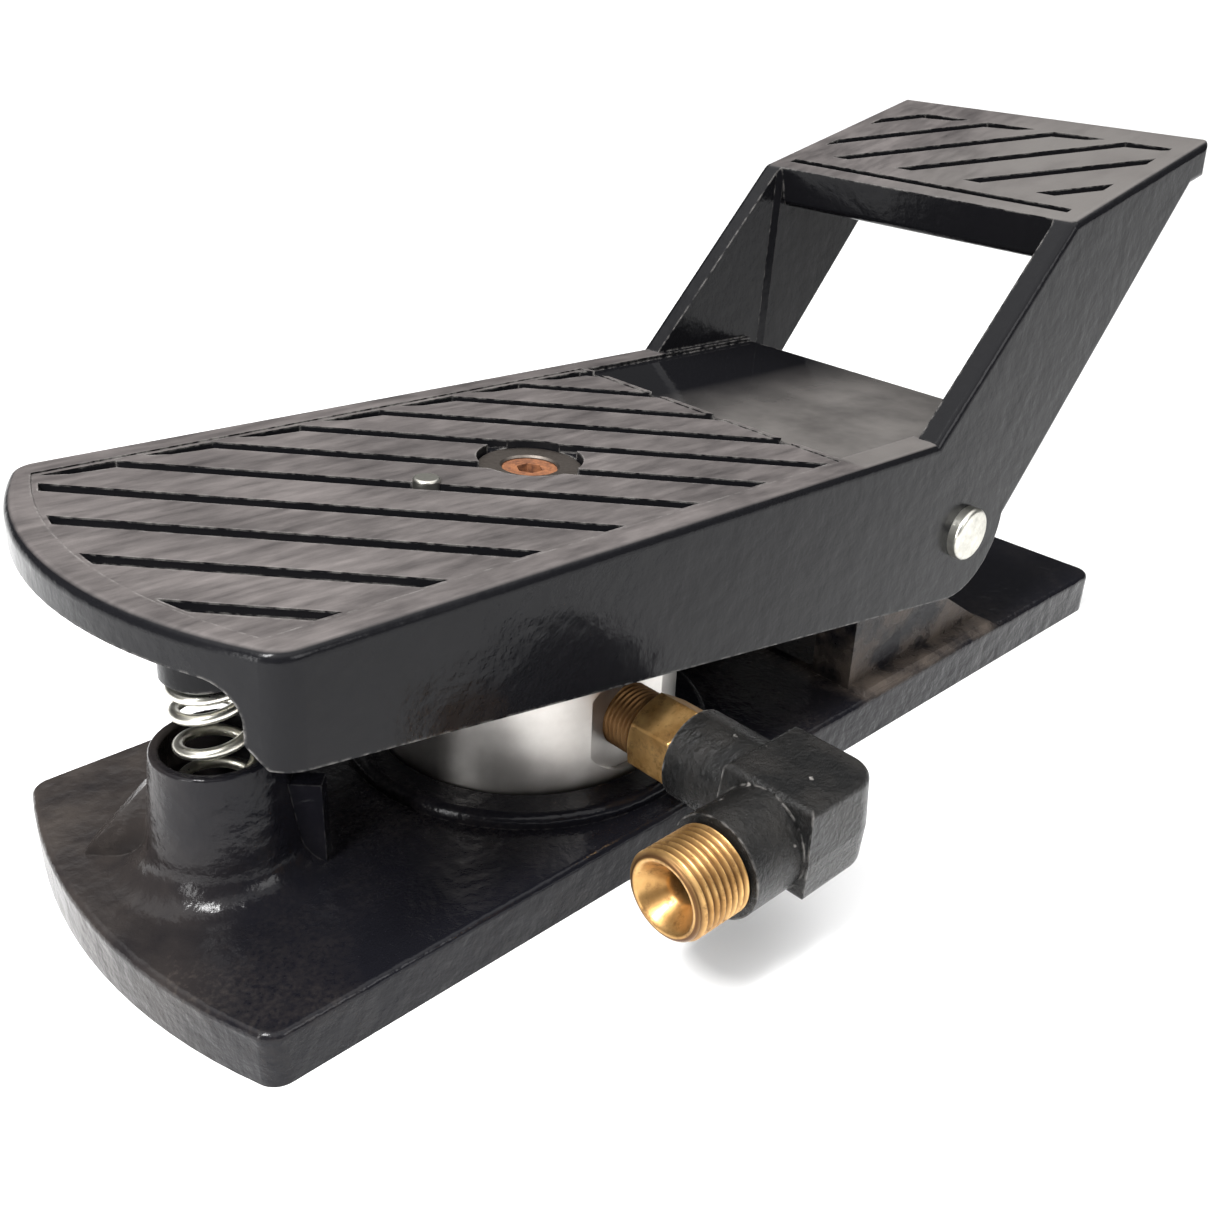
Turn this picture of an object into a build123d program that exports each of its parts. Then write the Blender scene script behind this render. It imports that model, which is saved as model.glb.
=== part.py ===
from build123d import *
import math
import os

# Cast foot treadle air valve. Millimetres, +Z up. The origin is the centre of the base's
# underside. +X runs from the rounded nose (return spring end) to the pivot end, and the
# outlet fittings stand out towards -Y.
# Treadle parts are drawn from the pivot: u along the plate, w square to it, then tilted.

# ---- base casting ---------------------------------------------------------------------
TREADLE_WIDTH = 114.3
BASE_LENGTH = 342.0
BASE_THICKNESS = 14.0
BASE_NOSE_SAG = 11.3          # how far the base's front arc bulges past its corners
BASE_CORNER_RADIUS = 5.5
BASE_EDGE = 1.8               # round-over along the top of the base
LUG_FOOT = (37.1, 107.4)      # front and rear ends of the pivot lugs and of the pad under them
PAD_HEIGHT = 1.2
LUG_INNER_Y = 36.0
LUG_CLEARANCE = 0.6           # between a lug and the treadle's side wall
LUG_HEAD_RADIUS = 12.0
LUG_SHOULDER_Z = 36.0         # the lug's front end is upright below this height
LUG_REAR_SLOPE = 33.2         # degrees, the brace behind the lug
RING_OUTER = 51.0             # raised ring round the foot of the valve body
RING_HEIGHT = 3.6
RING_CLEARANCE = 0.8

# ---- pivot ----------------------------------------------------------------------------
PIVOT_X = 73.6
PIVOT_Z = 57.2
REST_TILT = 2.45              # degrees, nose up at rest
PIN_RADIUS = 6.35             # half-inch pin
PIN_HEAD_RADIUS = 7.95
PIN_HEAD_LENGTH = 3.5
PIN_TAIL = 5.5
PIN_GROOVE = (1.7, 3.1)       # retaining-ring groove, from the far side wall
WASHER_RADIUS = 11.5
WASHER_THICKNESS = 1.6
BUSHING_WALL = 2.5
RUNNING_FIT = 0.05

# ---- treadle casting ------------------------------------------------------------------
PLATE_TOP = 30.5              # treadle plate above the pivot, square to the plate
PLATE_THICKNESS = 8.0
WALL = 7.0
CORNER_RADIUS = 8.0
CAST_EDGE = 2.4               # round-over on the treadle's outer edges
NOSE_CORNER_U = -225.2        # front corners, from the pivot along the plate
TREADLE_NOSE_SAG = 17.0
NOSE_WALL_BOTTOM = 6.2        # lower edge of the side wall at the front corner
WALL_SLOPE = 6.95             # degrees, lower edge of the side wall to the plate
WALL_BEVEL = 4.0              # along the lower inner edge of the side walls
NOSE_LEG_FILLET = 8.0         # between the front of a side wall and the plate above it
PLATE_REAR_U = 22.5
RISER_FOOT_U = -21.8
STEP_FRONT = (29.5, 86.3)     # (u, w) of the raised step's front edge
STEP_REAR = (104.9, 106.2)
STEP_THICKNESS = 9.0
STEP_LIP_DEPTH = 13.6         # the step's front edge is a deeper rounded bar
STEP_LIP_LENGTH = 8.0
PIVOT_BOSS_RADIUS = 21.5
SIDE_PAD = 1.1                # the walls are this much thicker behind the step's front edge
SIDE_PAD_U = 28.0
SPRING_SEAT_W = -2.3          # lower face of the boss that the return spring pushes on
SPRING_SEAT_RADIUS = 10.5
HOLE_BOSS_RADIUS = 21.0
PIN_BOSS_RADIUS = 7.5

# ---- tread grooves --------------------------------------------------------------------
RIM_WIDTH = 9.0
FIELD_CORNER_U = -223.0
FIELD_SAG = 10.8
FIELD_REAR_U = -55.0          # the tread stops here, the plate is smooth behind it
SMOOTH_DEPTH = 1.2
FIELD_DEPTH = 0.4             # the tread field lies this much below its rim
FIELD_LAND = 1.2              # and reaches this far past the ends of the grooves
FIELD_RIDGE = 1.5             # thin ridge left across the rear of the field
GROOVE_PITCH = 24.5           # along the plate, between the diagonal tread grooves
GROOVE_WIDTH = 4.4
GROOVE_DEPTH = 2.6
FIRST_GROOVE_U = -258.1       # where the first groove's line crosses the middle
GROOVE_COUNT = 13
POCKET_LENGTH = 15.0
POCKET_WIDTH = 5.0
STEP_FIELD = (15.5, 66.5)     # grooved part of the step, along it from its front edge
STEP_FIELD_HALF = 50.5
STEP_FIRST_GROOVE = 103.0
STEP_GROOVE_PITCH = 25.0
STEP_GROOVE_COUNT = 6
STEP_BORDER_S = 7.0           # straight groove along the front of the step
STEP_GROOVE_DEPTH = 2.2

# ---- return spring --------------------------------------------------------------------
SPRING_X = -136.5
SPRING_WIRE = 2.7
SPRING_OUTER_RADIUS = 9.6
SPRING_TURNS = 5.5
SPRING_START = 173.0          # degrees, where the wire begins on the floor of the cup
SPRING_FLOOR_Z = 24.0
SPRING_CUP_RADIUS = 12.4
SPRING_BOSS_TOP_Z = 45.2
SPRING_BOSS_TOP_RADIUS = 14.8
SPRING_BOSS_FOOT_RADIUS = 19.0
SPRING_BOSS_FILLET = 9.0

# ---- adjuster in the treadle ----------------------------------------------------------
HOLE_U = -121.9
HOLE_Y = -2.5
HOLE_RADIUS = 13.4
SCREW_RADIUS = 7.0
SCREW_TIP = 8.8
ADJUSTER_RECESS = 2.5         # bushing below the plate's top
ADJUSTER_BOTTOM = 18.0
LOCK_NUT_FLATS = 20.0
LOCK_NUT_HEIGHT = 6.5
STOP_PIN_U = -153.6
STOP_PIN_Y = -2.3
STOP_PIN_RADIUS = 3.3

# ---- valve ----------------------------------------------------------------------------
VALVE_X = -45.2
VALVE_RADIUS = 41.0
VALVE_TOP_Z = 54.0
PORT_Z = 34.1
PORT_DEPTH = 16.0
SPOT_FACE_Y = 39.1
SPOT_FACE_RADIUS = 14.8
INLET_RADIUS = 10.65          # half-inch pipe thread
OUTLET_RADIUS = 8.6           # three-eighths pipe thread
PASSAGE_RADIUS = 4.0
CHAMBER_RADIUS = 15.0
SEAT_RADIUS = 9.0
SEAT_Z = 32.0
SEAT_THICKNESS = 3.0
BONNET_RADIUS = 19.0
BONNET_SEAT_Z = 46.0
BONNET_TOP_Z = 60.0
BONNET_FLATS = 41.0
GASKET_THICKNESS = 1.0
SPIGOT_RADIUS = 22.0
SPIGOT_BOTTOM_Z = 4.0
PLUG_TOP_Z = 12.0
VALVE_SCREW_CIRCLE = 62.0
VALVE_SCREW_RADIUS = 3.0
VALVE_SCREW_HEAD = 5.0
VALVE_SCREW_HEAD_TOP = 6.5
PLUNGER_RADIUS = 5.0
PLUNGER_HEAD_RADIUS = 10.5
PLUNGER_BOTTOM_Z = 38.0
PLUNGER_TOP_Z = 70.8
PLUNGER_RING_Z = 44.7
PLUNGER_SEAL_Z = 51.25
SEAL_WIRE = 1.15
POPPET_RADIUS = 12.5
POPPET_BOTTOM_Z = 24.0
POPPET_DISC_TOP_Z = 28.6
POPPET_SPRING_RADIUS = 6.4
POPPET_SPRING_WIRE = 1.2
POPPET_SPRING_FLOOR_Z = 8.0

# ---- outlet fittings ------------------------------------------------------------------
HEX_FLATS = 19.05             # three-quarter hexagon on the brass nipple
HEX_TURN = 27.0
HEX_NEAR_Y = -48.6
ELBOW_FACE_Y = -62.5
ELBOW_Y = -94.3
ELBOW_INLET_RADIUS = 11.6
ELBOW_OUTLET_RADIUS = 12.2
ELBOW_HALF = 13.5             # half the width of the elbow's square corner at its parting line
ELBOW_DRAFT = 4.0             # degrees
ELBOW_TOP = 12.9              # corner's top above the fitting's axis
ELBOW_BOTTOM = 11.4
THREAD_ENGAGED = 12.0
FITTING_BORE = 5.5
CONNECTOR_FACE_X = -89.2
CONNECTOR_SHOULDER_X = -73.6
CONNECTOR_RADIUS = 10.65      # half-inch pipe thread for the hose
CONNECTOR_BORE = 4.1
CONNECTOR_MOUTH = 8.4
CONNECTOR_CONE = 6.0

# ---- worked out from them -------------------------------------------------------------
HALF_WIDTH = TREADLE_WIDTH / 2
INNER_HALF = HALF_WIDTH - WALL
LUG_OUTER_Y = INNER_HALF - LUG_CLEARANCE
BASE_FRONT = -BASE_LENGTH / 2
BASE_REAR = BASE_LENGTH / 2
PLATE_UNDER = PLATE_TOP - PLATE_THICKNESS
NOSE_U = NOSE_CORNER_U - TREADLE_NOSE_SAG
TILT = math.radians(REST_TILT)
BUSHING_RADIUS = PIN_RADIUS + BUSHING_WALL
ADJUSTER_TOP = PLATE_TOP - ADJUSTER_RECESS
SCREW_TOP = ADJUSTER_TOP - 0.8
SEAT_TOP_Z = SEAT_Z + SEAT_THICKNESS
FAR = 400.0                   # past the end of everything

os.makedirs("parts", exist_ok=True)


# ---- helpers --------------------------------------------------------------------------
def save(shape, name):
    export_step(shape, f"parts/{name}.step")


def cyl(radius, z_low, z_high, x=0.0, y=0.0):
    """Upright cylinder between two heights."""
    return Pos(x, y, (z_low + z_high) / 2) * Cylinder(radius, z_high - z_low)


def cyl_y(radius, y_low, y_high, x, z):
    """Cylinder along Y between two stations."""
    return Pos(x, (y_low + y_high) / 2, z) * Rot(90, 0, 0) * Cylinder(radius, y_high - y_low)


def cyl_x(radius, x_low, x_high, y, z):
    """Cylinder along X between two stations."""
    return Pos((x_low + x_high) / 2, y, z) * Rot(0, 90, 0) * Cylinder(radius, x_high - x_low)


def block(x_range, y_range, z_range):
    """Box between three pairs of limits."""
    low, high = zip(x_range, y_range, z_range)
    size = [b - a for a, b in zip(low, high)]
    middle = [(a + b) / 2 for a, b in zip(low, high)]
    return Pos(*middle) * Box(*size)


def tube(outer, inner, z_low, z_high):
    return cyl(outer, z_low, z_high) - cyl(inner, z_low - 1, z_high + 1)


def hexagon(flats, z_low, z_high, turn=0.0):
    """Upright hexagonal prism, measured across its flats."""
    sketch = RegularPolygon(flats / math.sqrt(3), 6, rotation=turn)
    return Pos(0, 0, z_low) * extrude(sketch, z_high - z_low)


def outline(points):
    return make_face(Polyline(*points, close=True))


def standing(face, y_low, y_high):
    """Extrude an XZ drawing between two Y stations."""
    return Pos(0, y_high, 0) * extrude(Rot(90, 0, 0) * face, amount=y_high - y_low, dir=(0, -1, 0))


def nose_outline(corner, rear, half, sag):
    """Plan of a bar with straight sides and an arc for its front end."""
    left = Line((rear, half), (corner, half))
    nose = ThreePointArc((corner, half), (corner - sag, 0), (corner, -half))
    right = Line((corner, -half), (rear, -half))
    back = Line((rear, -half), (rear, half))
    return make_face([left, nose, right, back])


def front_corners(solid):
    return solid.edges().filter_by(Axis.Z).sort_by(Axis.X)[:2]


def to_treadle(shape):
    """Tilt a shape drawn from the pivot to its rest place."""
    return Pos(PIVOT_X, 0, PIVOT_Z) * Rot(0, REST_TILT, 0) * shape


def to_valve(shape):
    return Pos(VALVE_X, 0, 0) * shape


def along_plate(x, w):
    """Distance u from the pivot of a point at station x, height w on the treadle."""
    return (x - PIVOT_X - w * math.sin(TILT)) / math.cos(TILT)


def height_on_treadle(u, w):
    """Height above the floor of the point (u, w) of the treadle at rest."""
    return PIVOT_Z - u * math.sin(TILT) + w * math.cos(TILT)


def valve_screw_places():
    return PolarLocations(VALVE_SCREW_CIRCLE / 2, 4, start_angle=45)


# ---- base casting ---------------------------------------------------------------------
def base_slab():
    plan = nose_outline(BASE_FRONT + BASE_NOSE_SAG, BASE_REAR, HALF_WIDTH, BASE_NOSE_SAG)
    slab = extrude(plan, BASE_THICKNESS)
    slab = fillet(slab.edges().filter_by(Axis.Z), BASE_CORNER_RADIUS)
    return fillet(slab.faces().sort_by(Axis.Z)[-1].edges(), BASE_EDGE)


def spring_boss():
    height = SPRING_BOSS_TOP_Z - BASE_THICKNESS
    cone = Cone(SPRING_BOSS_FOOT_RADIUS, SPRING_BOSS_TOP_RADIUS, height)
    return Pos(SPRING_X, 0, BASE_THICKNESS + height / 2) * cone


def spring_boss_webs():
    """A long web towards the far front corner and a short upright one facing it."""
    foot = BASE_THICKNESS - 2
    top = SPRING_BOSS_TOP_Z - 9
    long_web = outline([(0, foot), (33, foot), (33, foot + 3), (15, top), (0, top)])
    short_web = outline([(0, foot), (23.5, foot), (23.5, top), (0, top)])
    webs = Rot(0, 0, 135) * standing(long_web, -3, 3) + Rot(0, 0, -45) * standing(short_web, -2.5, 2.5)
    return Pos(SPRING_X, 0, 0) * webs


def pivot_lug(y_low, y_high):
    """Plate that carries the pin: upright front end, round head, and a sloping brace behind."""
    foot_z = BASE_THICKNESS - 2
    front = LUG_FOOT[0]
    rear = PIVOT_X + LUG_HEAD_RADIUS
    brace_top = BASE_THICKNESS + (LUG_FOOT[1] - rear) * math.tan(math.radians(LUG_REAR_SLOPE))
    reach = math.hypot(PIVOT_X - front, PIVOT_Z - LUG_SHOULDER_Z)
    drop = math.atan2(PIVOT_Z - LUG_SHOULDER_Z, PIVOT_X - front)
    turn = math.acos(LUG_HEAD_RADIUS / reach) - drop
    touch = (PIVOT_X - LUG_HEAD_RADIUS * math.cos(turn), PIVOT_Z + LUG_HEAD_RADIUS * math.sin(turn))
    side = outline([(front, foot_z), (front, LUG_SHOULDER_Z), touch, (PIVOT_X, PIVOT_Z), (rear, PIVOT_Z),
                    (rear, brace_top), (LUG_FOOT[1], BASE_THICKNESS), (LUG_FOOT[1], foot_z)])
    return standing(side, y_low, y_high) + cyl_y(LUG_HEAD_RADIUS, y_low, y_high, PIVOT_X, PIVOT_Z)


def pivot_pad():
    """Low raised pad across the base under both lugs."""
    top = BASE_THICKNESS + PAD_HEIGHT
    pad = block(LUG_FOOT, (-HALF_WIDTH + 1.5, HALF_WIDTH - 1.5), (BASE_THICKNESS - 1, top))
    return chamfer(pad.faces().sort_by(Axis.Z)[-1].edges(), PAD_HEIGHT - 0.1)


def base_casting():
    base = base_slab() + spring_boss()
    foot = base.edges().filter_by(GeomType.CIRCLE).filter_by_position(
        Axis.Z, BASE_THICKNESS - 0.1, BASE_THICKNESS + 0.1)
    foot = [edge for edge in foot if abs(edge.center().X - SPRING_X) < 30]
    base = fillet(foot, SPRING_BOSS_FILLET) + spring_boss_webs()
    base -= cyl(SPRING_CUP_RADIUS, SPRING_FLOOR_Z, SPRING_BOSS_TOP_Z + 1, SPRING_X)
    rim = base.edges().filter_by_position(Axis.Z, SPRING_BOSS_TOP_Z - 0.1, SPRING_BOSS_TOP_Z + 0.1)
    base = fillet(rim, 0.9)
    ring = tube(RING_OUTER, VALVE_RADIUS + RING_CLEARANCE, BASE_THICKNESS - 1, BASE_THICKNESS + RING_HEIGHT)
    ring_edge = ring.faces().sort_by(Axis.Z)[-1].edges().sort_by(SortBy.RADIUS)[-1]
    base += to_valve(fillet(ring_edge, 2.4))
    base += pivot_pad()
    base += pivot_lug(LUG_INNER_Y, LUG_OUTER_Y)
    base += pivot_lug(-LUG_OUTER_Y, -LUG_INNER_Y)
    base -= cyl_y(BUSHING_RADIUS, -HALF_WIDTH, HALF_WIDTH, PIVOT_X, PIVOT_Z)
    base -= to_valve(cyl(SPIGOT_RADIUS + 0.3, -1, BASE_THICKNESS + 1))
    for place in valve_screw_places():
        base -= to_valve(place * cyl(VALVE_SCREW_RADIUS + 0.3, -1, BASE_THICKNESS + 1))
        base -= to_valve(place * cyl(VALVE_SCREW_HEAD + 0.6, -1, VALVE_SCREW_HEAD_TOP))
    return base


# ---- treadle casting ------------------------------------------------------------------
def wall_profile():
    """Side view of the treadle: plate, leaning riser, step and pivot end."""
    slope = math.radians(WALL_SLOPE)
    touch = (-PIVOT_BOSS_RADIUS * math.sin(slope), -PIVOT_BOSS_RADIUS * math.cos(slope))
    nose_bottom = NOSE_WALL_BOTTOM + TREADLE_NOSE_SAG * math.tan(slope)
    step_back = [STEP_REAR, (106.9, 95.2), (98.6, 93.2)]
    back_foot = (21.4, -2.1)
    return [(NOSE_U, PLATE_TOP), (RISER_FOOT_U, PLATE_TOP), STEP_FRONT, *step_back,
            back_foot, touch, (NOSE_U, nose_bottom)]


def step_slope():
    return math.atan2(STEP_REAR[1] - STEP_FRONT[1], STEP_REAR[0] - STEP_FRONT[0])


def step_section():
    """Side view of the step: a slab with a deeper rounded bar along its front edge."""
    run = math.hypot(STEP_REAR[0] - STEP_FRONT[0], STEP_REAR[1] - STEP_FRONT[1])
    section = Pos(run / 2 + 10, -STEP_THICKNESS / 2) * Rectangle(run + 20, STEP_THICKNESS)
    lip = Pos(STEP_LIP_LENGTH / 2, -STEP_LIP_DEPTH / 2) * Rectangle(STEP_LIP_LENGTH, STEP_LIP_DEPTH)
    lip = fillet(lip.vertices().sort_by(Axis.Y)[:2], 3.0)
    return Pos(*STEP_FRONT) * Rot(0, 0, math.degrees(step_slope())) * (section + lip)


def inside_space():
    """The space between the walls, round the plate and the step, in side view."""
    plate = outline([(-FAR, PLATE_UNDER), (PLATE_REAR_U, PLATE_UNDER),
                     (PLATE_REAR_U, PLATE_TOP), (-FAR, PLATE_TOP)])
    return Rectangle(2 * FAR, 2 * FAR) - plate - step_section()


def inner_plan():
    """Plan between the side walls, which are thicker behind the step's front edge."""
    thin = nose_outline(NOSE_CORNER_U + 3, SIDE_PAD_U, INNER_HALF, 14.0)
    thin = fillet(thin.vertices().sort_by(Axis.X)[:2], 5.0)
    half = INNER_HALF - SIDE_PAD
    rear = Pos((SIDE_PAD_U + 130) / 2, 0) * Rectangle(130 - SIDE_PAD_U, 2 * half)
    bevel = outline([(SIDE_PAD_U - 0.1, INNER_HALF), (SIDE_PAD_U + 2.6, half),
                     (SIDE_PAD_U + 2.6, -half), (SIDE_PAD_U - 0.1, -INNER_HALF)])
    return thin + bevel + rear


def under_nose():
    """Space under the front of the plate, open to the front between the side walls."""
    front = block((NOSE_U - 10, NOSE_CORNER_U + 12), (-INNER_HALF, INNER_HALF), (-FAR, PLATE_UNDER))
    return fillet(front.edges().filter_by(Axis.X).sort_by(Axis.Z)[-2:], NOSE_LEG_FILLET)


def wall_bevels():
    """Wedges that bevel the lower inner edges of the side walls."""
    slope = math.radians(WALL_SLOPE)
    rear = -PIVOT_BOSS_RADIUS - 3
    bottom = NOSE_WALL_BOTTOM - (rear - NOSE_CORNER_U) * math.tan(slope)
    across = Plane(origin=(rear, 0, bottom), x_dir=(0, -1, 0), z_dir=(-math.cos(slope), 0, math.sin(slope)))
    edge = INNER_HALF + WALL_BEVEL
    wedge = outline([(edge + 1, -1), (INNER_HALF - 1, WALL_BEVEL + 1), (INNER_HALF - 1, -1)])
    return [across * extrude(side, rear - NOSE_U + 5) for side in (wedge, mirror(wedge, Plane.YZ))]


def tread_field():
    """Plan of the grooved field inside the treadle's rim."""
    return nose_outline(FIELD_CORNER_U, FIELD_REAR_U, HALF_WIDTH - RIM_WIDTH, FIELD_SAG)


def field_recess():
    """The whole field is a little below the rim, with a thin ridge left across its rear."""
    half = HALF_WIDTH - RIM_WIDTH + FIELD_LAND
    plan = nose_outline(FIELD_CORNER_U - FIELD_LAND, FIELD_REAR_U - FIELD_RIDGE, half, FIELD_SAG)
    return Pos(0, 0, PLATE_TOP - FIELD_DEPTH) * extrude(plan, 5)


def clipped(drawings, field, bottom):
    """Cutters that stand on the floor of the grooves, kept inside the field."""
    cutters = []
    for drawing in drawings:
        inside = drawing & field
        if inside is not None and inside.area > 6:
            cutters.append(Pos(0, 0, bottom) * extrude(inside, 10))
    return cutters


def plate_grooves():
    """Diagonal grooves, each with a small pocket where it meets the far rim."""
    half = HALF_WIDTH - RIM_WIDTH
    drawings = []
    for number in range(GROOVE_COUNT):
        cross = FIRST_GROOVE_U + number * GROOVE_PITCH
        drawings.append(Pos(cross, 0, 0) * Rot(0, 0, -45) * Rectangle(FAR, GROOVE_WIDTH))
        end = cross - half
        drawings.append(outline([(end - POCKET_LENGTH, half), (end + 2, half),
                                 (end + 6, half - POCKET_WIDTH), (end - 9, half - 3)]))
    return clipped(drawings, tread_field(), PLATE_TOP - GROOVE_DEPTH)


def step_grooves():
    """The same pattern on the raised step, with its pockets along the rear border."""
    front, rear = STEP_FIELD
    field = Pos((front + rear) / 2, 0) * Rectangle(rear - front, 2 * STEP_FIELD_HALF)
    drawings = []
    for number in range(STEP_GROOVE_COUNT):
        cross = STEP_FIRST_GROOVE - number * STEP_GROOVE_PITCH
        drawings.append(Pos(cross, 0) * Rot(0, 0, -45) * Rectangle(FAR, GROOVE_WIDTH))
        end = cross - rear
        drawings.append(outline([(rear, end + 2), (rear, end - POCKET_LENGTH),
                                 (rear - 3, end - 10), (rear - POCKET_WIDTH, end + 5)]))
    cutters = clipped(drawings, field, -STEP_GROOVE_DEPTH)
    border = Pos(STEP_BORDER_S, 0) * Rectangle(3.0, 2 * STEP_FIELD_HALF)
    cutters.append(Pos(0, 0, -STEP_GROOVE_DEPTH) * extrude(border, 10))
    place = Pos(STEP_FRONT[0], 0, STEP_FRONT[1]) * Rot(0, -math.degrees(step_slope()), 0)
    return [place * cutter for cutter in cutters]


def outer_edges(body):
    """Edges of the plate's nose and of both side faces above the pivot, to be rounded."""
    chosen = []
    for edge in body.edges():
        middle = edge.center()
        on_side = abs(abs(middle.Y) - HALF_WIDTH) < 0.01
        on_top = abs(middle.Z - PLATE_TOP) < 0.01 and middle.X < NOSE_CORNER_U + 6
        if on_top or on_side and middle.Z > 24 and edge.geom_type == GeomType.LINE:
            chosen.append(edge)
    return chosen


def treadle_casting():
    plan = nose_outline(NOSE_CORNER_U, 130, HALF_WIDTH, TREADLE_NOSE_SAG)
    outer = Pos(0, 0, -60) * extrude(plan, 220)
    outer = fillet(front_corners(outer), CORNER_RADIUS)
    body = outer & standing(outline(wall_profile()), -HALF_WIDTH - 5, HALF_WIDTH + 5)
    body = fillet(outer_edges(body), CAST_EDGE)
    step_nose = body.edges().filter_by(Axis.Y).filter_by_position(
        Axis.Z, STEP_FRONT[1] - 3, STEP_FRONT[1] + 3)
    body = fillet(step_nose, 4.0)
    body += cyl_y(PIVOT_BOSS_RADIUS, -HALF_WIDTH, HALF_WIDTH, 0, 0)
    inner = Pos(0, 0, -60) * extrude(inner_plan(), 220)
    body -= inner & standing(inside_space(), -HALF_WIDTH, HALF_WIDTH)
    body -= under_nose()
    spring_u = along_plate(SPRING_X, SPRING_SEAT_W)
    body += cyl(SPRING_SEAT_RADIUS, SPRING_SEAT_W, PLATE_UNDER + 1, spring_u)
    body += cyl(HOLE_BOSS_RADIUS, PLATE_UNDER - 4.5, PLATE_UNDER + 1, HOLE_U, HOLE_Y)
    body += cyl(PIN_BOSS_RADIUS, PLATE_UNDER - 9, PLATE_UNDER + 1, STOP_PIN_U, STOP_PIN_Y)
    body -= cyl(HOLE_RADIUS, 0, PLATE_TOP + 5, HOLE_U, HOLE_Y)
    body -= cyl(STOP_PIN_RADIUS, -5, PLATE_TOP + 5, STOP_PIN_U, STOP_PIN_Y)
    body -= cyl_y(PIN_RADIUS, -HALF_WIDTH - 5, HALF_WIDTH + 5, 0, 0)
    for cutter in plate_grooves() + step_grooves() + wall_bevels():
        body -= cutter
    body -= field_recess()
    smooth = block((FIELD_REAR_U, PLATE_REAR_U + 5), (-INNER_HALF + 2, INNER_HALF - 2),
                   (PLATE_TOP - SMOOTH_DEPTH, PLATE_TOP + 4))
    return body - smooth


# ---- pivot ----------------------------------------------------------------------------
def pivot_pin():
    head = cyl_y(PIN_HEAD_RADIUS, -HALF_WIDTH - PIN_HEAD_LENGTH, -HALF_WIDTH, 0, 0)
    head = fillet(head.faces().sort_by(Axis.Y)[0].edges(), 1.3)
    pin = head + cyl_y(PIN_RADIUS, -HALF_WIDTH - 1, HALF_WIDTH + PIN_TAIL, 0, 0)
    pin = chamfer(pin.faces().sort_by(Axis.Y)[-1].edges(), 0.8)
    low, high = PIN_GROOVE
    groove = cyl_y(PIN_RADIUS + 1, HALF_WIDTH + low, HALF_WIDTH + high, 0, 0)
    groove -= cyl_y(PIN_RADIUS - 1, HALF_WIDTH, HALF_WIDTH + PIN_TAIL, 0, 0)
    return pin - groove


def pin_washer():
    ring = cyl_y(WASHER_RADIUS, HALF_WIDTH, HALF_WIDTH + WASHER_THICKNESS, 0, 0)
    return ring - cyl_y(PIN_RADIUS, HALF_WIDTH - 1, HALF_WIDTH + 3, 0, 0)


def pin_retaining_ring():
    """Open ring in the pin's groove."""
    low, high = PIN_GROOVE
    ring = cyl_y(PIN_RADIUS + 3.2, HALF_WIDTH + low + 0.05, HALF_WIDTH + high - 0.1, 0, 0)
    ring -= cyl_y(PIN_RADIUS - 1, HALF_WIDTH, HALF_WIDTH + 5, 0, 0)
    return ring - block((-3.2, 3.2), (0, HALF_WIDTH + 10), (-12, 0))


def pivot_bushing(side):
    y_low, y_high = sorted((side * LUG_INNER_Y, side * LUG_OUTER_Y))
    sleeve = cyl_y(BUSHING_RADIUS, y_low, y_high, PIVOT_X, PIVOT_Z)
    return sleeve - cyl_y(PIN_RADIUS + RUNNING_FIT, y_low - 1, y_high + 1, PIVOT_X, PIVOT_Z)


# ---- springs --------------------------------------------------------------------------
def coil(outer, wire, z_low, z_high, turns, start=0.0):
    """Compression spring with one closed turn at each end."""
    mean = outer - wire / 2
    steps = 12
    active = turns - 2
    end_rise = wire * 1.02
    free = (z_high - z_low) - wire - 2 * end_rise
    points = []
    for step in range(round(turns * steps) + 1):
        turn = step / steps
        lower = min(turn, 1) * end_rise
        middle = min(max(turn - 1, 0), active) / active * free
        upper = max(turn - 1 - active, 0) * end_rise
        angle = 2 * math.pi * turn
        rise = z_low + wire / 2 + lower + middle + upper
        points.append((mean * math.cos(angle), mean * math.sin(angle), rise))
    path = Spline(*points)
    section = Plane(origin=path @ 0, z_dir=path % 0) * Circle(wire / 2)
    return Rot(0, 0, start) * sweep(section, path)


def return_spring():
    top = height_on_treadle(along_plate(SPRING_X, SPRING_SEAT_W), SPRING_SEAT_W) - 0.4
    spring = coil(SPRING_OUTER_RADIUS, SPRING_WIRE, SPRING_FLOOR_Z, top, SPRING_TURNS, SPRING_START)
    return Pos(SPRING_X, 0, 0) * spring


def poppet_spring():
    return coil(POPPET_SPRING_RADIUS, POPPET_SPRING_WIRE, POPPET_SPRING_FLOOR_Z, POPPET_BOTTOM_Z, 6)


# ---- adjuster in the treadle ----------------------------------------------------------
def adjuster_bushing():
    ring = tube(HOLE_RADIUS, SCREW_RADIUS, ADJUSTER_BOTTOM, ADJUSTER_TOP)
    lip = ring.faces().sort_by(Axis.Z)[-1].edges()
    return Pos(HOLE_U, HOLE_Y, 0) * chamfer(lip, 0.5)


def adjuster_screw():
    """Round-nosed screw with a hexagon socket, pushing on the plunger."""
    screw = cyl(SCREW_RADIUS, SCREW_TIP, SCREW_TOP)
    screw = fillet(screw.faces().sort_by(Axis.Z)[0].edges(), 3.5)
    screw -= hexagon(6, SCREW_TOP - 5, SCREW_TOP + 1)
    return Pos(HOLE_U, HOLE_Y, 0) * screw


def adjuster_lock_nut():
    nut = hexagon(LOCK_NUT_FLATS, ADJUSTER_BOTTOM - LOCK_NUT_HEIGHT, ADJUSTER_BOTTOM)
    return Pos(HOLE_U, HOLE_Y, 0) * (nut - cyl(SCREW_RADIUS, 0, 30))


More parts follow.
